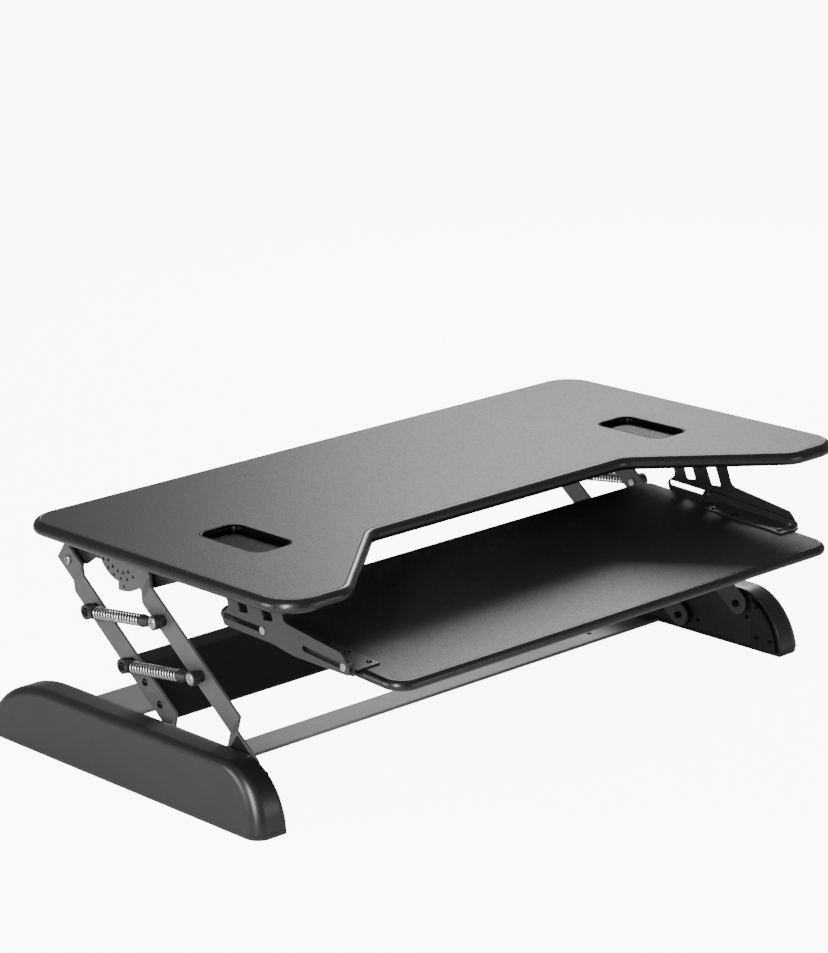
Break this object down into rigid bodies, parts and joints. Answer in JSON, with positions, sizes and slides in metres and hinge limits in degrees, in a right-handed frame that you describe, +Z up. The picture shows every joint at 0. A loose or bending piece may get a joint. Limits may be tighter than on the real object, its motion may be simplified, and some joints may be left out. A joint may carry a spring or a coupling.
{
  "type": "standing desk converter",
  "caption": "Two-tier standing desk converter: notched worktop and sliding keyboard tray on parallel swing arms with coil springs over two long feet and flat crossbars.",
  "frame": {"origin": "on the surface it stands on, midway between the two sides and midway between the tray's front edge and the feet's rear ends", "axes": "+X to the user's right, +Y away from the user, +Z up"},
  "size_m": [1.245, 0.91, 0.405],
  "materials": {
    "laminate": "fine pebbled black laminate",
    "tray_laminate": "fine pebbled black laminate",
    "foot_plastic": "satin",
    "well_plastic": "fine grain",
    "spring_plastic": "satin",
    "arm_paint": "satin powder coat",
    "bar_paint": "satin powder coat",
    "black_paint": "satin powder coat",
    "panel_paint": "satin powder coat",
    "bright_steel": "zinc plated",
    "spring_steel": "bright drawn wire",
    "black_screw": "black oxide",
    "rubber": "matt",
    "cable_sheath": "smooth"
  },
  "bodies": {
    "base": {"foot_cover_left": "foot_plastic", "foot_cover_right": "foot_plastic", "foot_plate_left": "black_paint", "foot_plate_right": "black_paint", "foot_nose_left": "foot_plastic", "foot_nose_right": "foot_plastic", "foot_base_left": "well_plastic", "foot_base_right": "well_plastic", "floor_pads": "rubber", "front_crossbar": "bar_paint", "rear_crossbar": "bar_paint", "base_screws": "bright_steel", "arm_pivot_bolts": "bright_steel", "arm_pivot_spacers": "bright_steel"},
    "front_arms": {"front_arm_left": "arm_paint", "front_arm_right": "arm_paint", "front_arm_pads": "rubber", "spring_bushes": "rubber", "spring_screws": "bright_steel"},
    "rear_arms": {"rear_arm_left": "arm_paint", "rear_arm_right": "arm_paint", "rear_arm_pads": "rubber", "cross_panel": "panel_paint", "panel_screws": "black_screw", "spring_posts": "black_paint"},
    "deck": {"worktop": "laminate", "well_trim_left": "well_plastic", "well_trim_right": "well_plastic", "lift_bracket_left": "black_paint", "lift_bracket_right": "black_paint", "lock_housings": "well_plastic", "deck_pivot_bolts": "bright_steel", "deck_pivot_spacers": "rubber", "tray_hanger_left": "black_paint", "tray_hanger_right": "black_paint", "deck_screws": "bright_steel", "paddle_pins": "bright_steel", "release_cables": "cable_sheath"},
    "upper_spring_rear": {"upper_spring_caps": "spring_plastic", "upper_springs": "spring_steel"},
    "upper_spring_front": {"upper_spring_eyes": "spring_plastic"},
    "lower_spring_rear": {"lower_spring_caps": "spring_plastic", "lower_springs": "spring_steel"},
    "lower_spring_front": {"lower_spring_eyes": "spring_plastic"},
    "paddle_left": {"paddle_left": "well_plastic"},
    "paddle_right": {"paddle_right": "well_plastic"},
    "lock_bolt_left": {"lock_bolt_left": "bright_steel"},
    "lock_bolt_right": {"lock_bolt_right": "bright_steel"},
    "tray_runners": {"tray_rear_pins": "bright_steel"},
    "tray": {"keyboard_tray": "tray_laminate", "tray_bracket_left": "black_paint", "tray_bracket_right": "black_paint", "tray_front_pins": "bright_steel", "tray_screws": "black_screw"}
  },
  "joints": [
    {"name": "lift", "type": "hinge", "parent": "base", "child": "front_arms", "pos_m": [0, -0.173, 0.085], "axis": [1, 0, 0], "range_deg": [-34.5, 8]},
    {"name": "rear_swing", "type": "hinge", "parent": "base", "child": "rear_arms", "pos_m": [0, -0.032, 0.032], "axis": [1, 0, 0], "range_deg": [-34.6, 8.1]},
    {"name": "deck_level", "type": "hinge", "parent": "front_arms", "child": "deck", "pos_m": [0, 0.1816, 0.36205], "axis": [1, 0, 0], "range_deg": [-8.1, 34.6]},
    {"name": "upper_spring_swing", "type": "hinge", "parent": "rear_arms", "child": "upper_spring_rear", "pos_m": [0, 0.23986, 0.2444], "axis": [1, 0, 0], "range_deg": [-6.26, 26.98]},
    {"name": "upper_spring_slide", "type": "slide", "parent": "upper_spring_rear", "child": "upper_spring_front", "axis": [0, -0.9925, 0.1222], "range_m": [-0.0039, 0.0163], "deforming": ["upper_springs"]},
    {"name": "lower_spring_swing", "type": "hinge", "parent": "rear_arms", "child": "lower_spring_rear", "pos_m": [0, 0.14845, 0.17299], "axis": [1, 0, 0], "range_deg": [-6.26, 26.98]},
    {"name": "lower_spring_slide", "type": "slide", "parent": "lower_spring_rear", "child": "lower_spring_front", "axis": [0, -0.9925, 0.1222], "range_m": [-0.0039, 0.0163], "deforming": ["lower_springs"]},
    {"name": "paddle_left_squeeze", "type": "hinge", "parent": "deck", "child": "paddle_left", "pos_m": [-0.47, -0.048, 0.37905], "axis": [0, -1, 0], "range_deg": [0, 8], "stiffness_Nm_per_rad": 1.5, "springref_deg": -14.32},
    {"name": "paddle_right_squeeze", "type": "hinge", "parent": "deck", "child": "paddle_right", "pos_m": [0.47, -0.048, 0.37905], "axis": [0, 1, 0], "range_deg": [0, 8], "stiffness_Nm_per_rad": 1.5, "springref_deg": -14.32},
    {"name": "lock_left", "type": "slide", "parent": "deck", "child": "lock_bolt_left", "axis": [1, 0, 0], "range_m": [0, 0.0046]},
    {"name": "lock_right", "type": "slide", "parent": "deck", "child": "lock_bolt_right", "axis": [-1, 0, 0], "range_m": [0, 0.0046]},
    {"name": "tray_slide", "type": "slide", "parent": "deck", "child": "tray_runners", "axis": [0, 0.9991, 0.0419], "range_m": [0, 0.092]},
    {"name": "tray_tilt", "type": "hinge", "parent": "tray_runners", "child": "tray", "pos_m": [0, -0.156, 0.2915], "axis": [1, 0, 0], "range_deg": [-1.2, 0]}
  ],
  "couplings": [
    {"joint": "rear_swing", "follows": "lift", "ratio": 1},
    {"joint": "deck_level", "follows": "lift", "ratio": -1},
    {"joint": "upper_spring_swing", "follows": "lift", "ratio": -0.782},
    {"joint": "lower_spring_swing", "follows": "lift", "ratio": -0.782},
    {"joint": "upper_spring_slide", "follows": "lift", "m_per_rad": -0.0269},
    {"joint": "lower_spring_slide", "follows": "lift", "m_per_rad": -0.0269},
    {"joint": "lock_left", "follows": "paddle_left_squeeze", "m_per_rad": 0.03223},
    {"joint": "lock_right", "follows": "paddle_right_squeeze", "m_per_rad": 0.03223},
    {"joint": "tray_tilt", "follows": "tray_slide", "rad_per_m": -0.22196}
  ]
}
